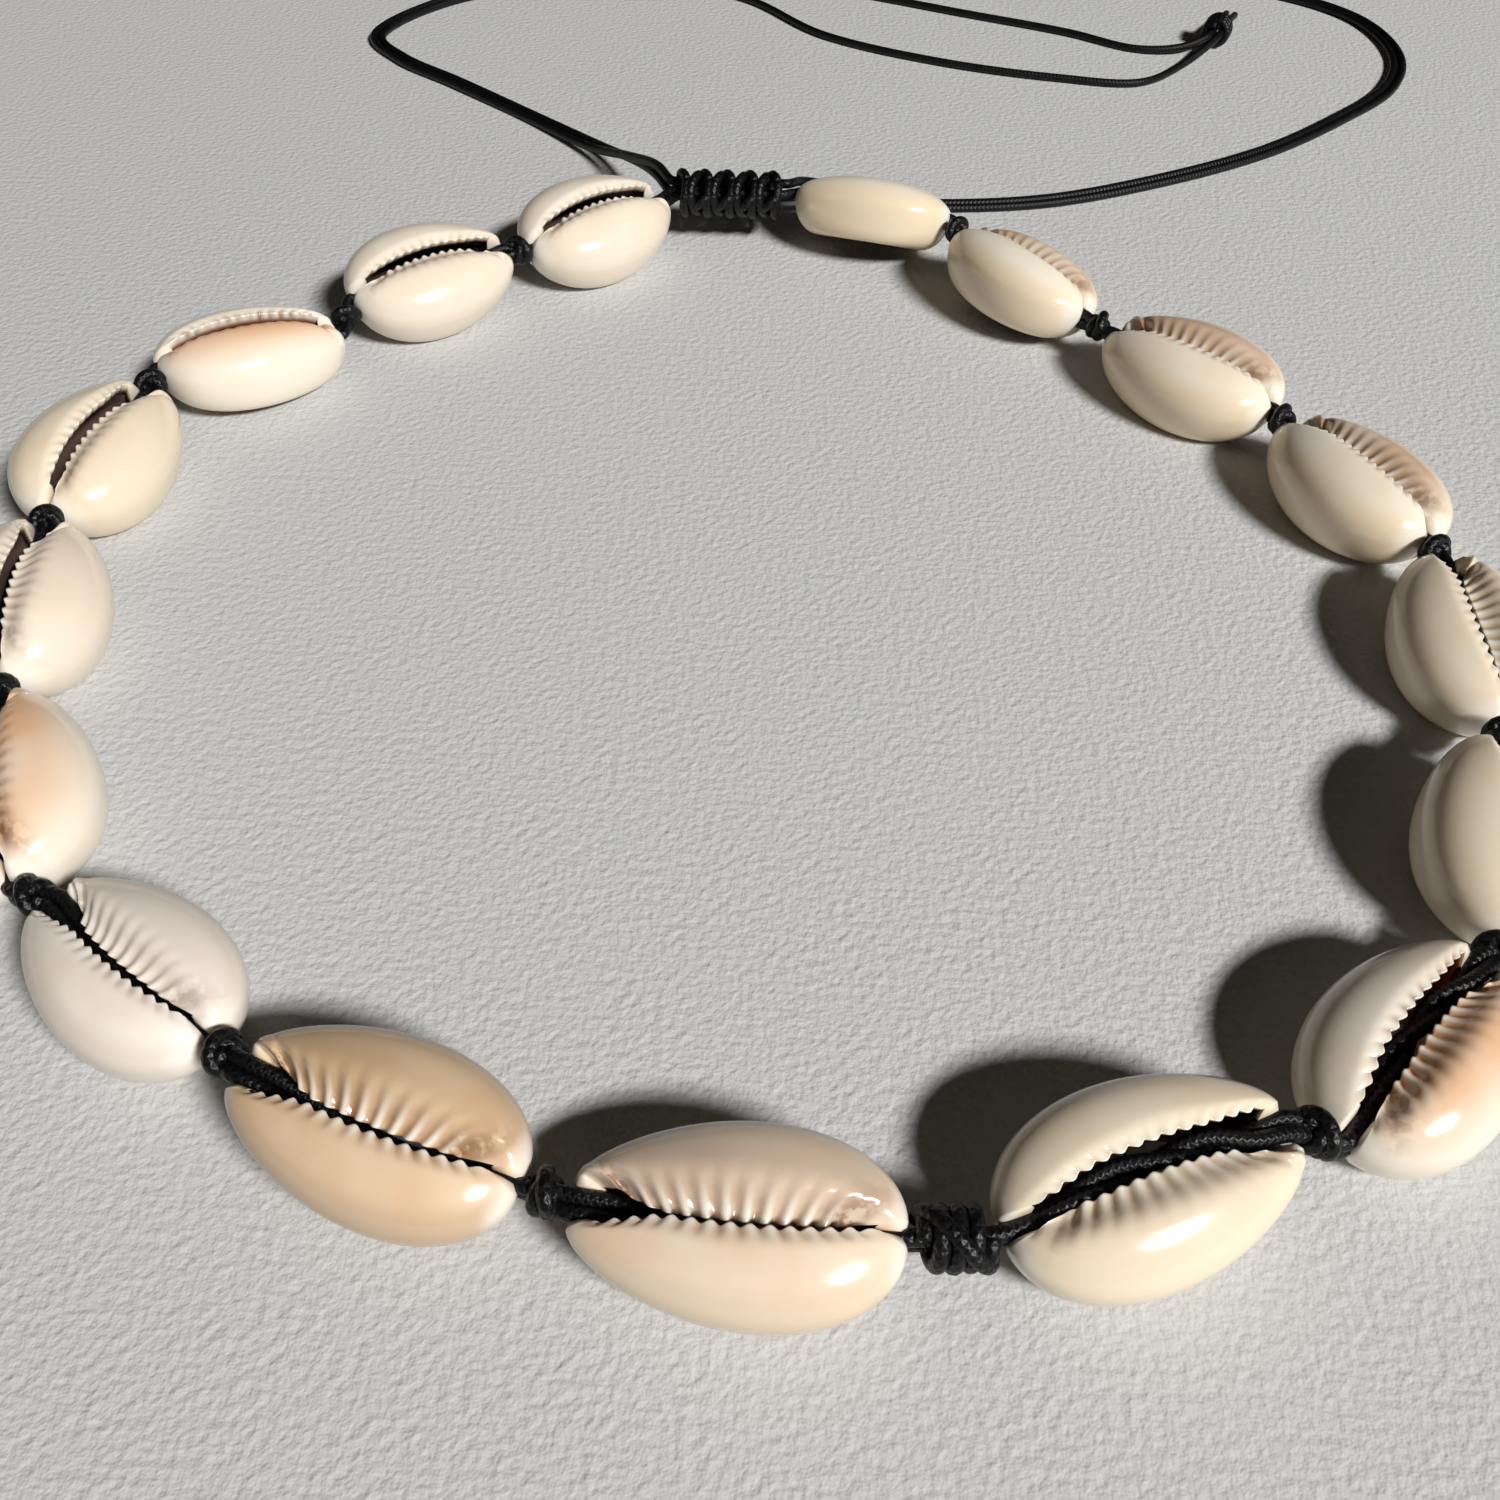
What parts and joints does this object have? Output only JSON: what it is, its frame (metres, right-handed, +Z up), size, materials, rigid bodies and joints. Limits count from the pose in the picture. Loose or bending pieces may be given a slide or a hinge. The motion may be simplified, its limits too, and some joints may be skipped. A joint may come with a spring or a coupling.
{
  "type": "shell necklace",
  "caption": "Ring of cut-back cowrie shells on a doubled black cord, a knot between each pair of shells and a sliding knot with two doubled tails at the back.",
  "frame": {"origin": "middle of the shell ring's box on the surface that the necklace lies on", "axes": "+Z up out of the surface, +Y from the centre knot at the front to the sliding knot at the back, +X to the right seen with the front near"},
  "size_m": [0.175, 0.2474, 0.0107],
  "materials": {
    "shell": "naturally glossy seashell, cream to beige, browner between the teeth",
    "cord": "black waxed braided cord with a faint sheen"
  },
  "bodies": {
    "root": {"cowrie_01": "shell", "cowrie_02": "shell", "cowrie_03": "shell", "cowrie_04": "shell", "cowrie_05": "shell", "cowrie_06": "shell", "cowrie_07": "shell", "cowrie_08": "shell", "cowrie_09": "shell", "cowrie_10": "shell", "cowrie_11": "shell", "cowrie_12": "shell", "cowrie_13": "shell", "cowrie_14": "shell", "cowrie_15": "shell", "cowrie_16": "shell", "cowrie_17": "shell", "knot_01": "cord", "knot_02": "cord", "knot_03": "cord", "knot_04": "cord", "knot_05": "cord", "knot_06": "cord", "knot_07": "cord", "knot_08": "cord", "knot_09": "cord", "knot_10": "cord", "knot_11": "cord", "knot_12": "cord", "knot_13": "cord", "knot_14": "cord", "knot_15": "cord", "knot_16": "cord", "sliding_knot": "cord", "loop_cord_upper": "cord", "loop_cord_lower": "cord", "left_tail_inner": "cord", "left_tail_outer": "cord", "right_tail_inner": "cord", "right_tail_outer": "cord", "left_stopper": "cord", "right_stopper": "cord"}
  },
  "joints": []
}
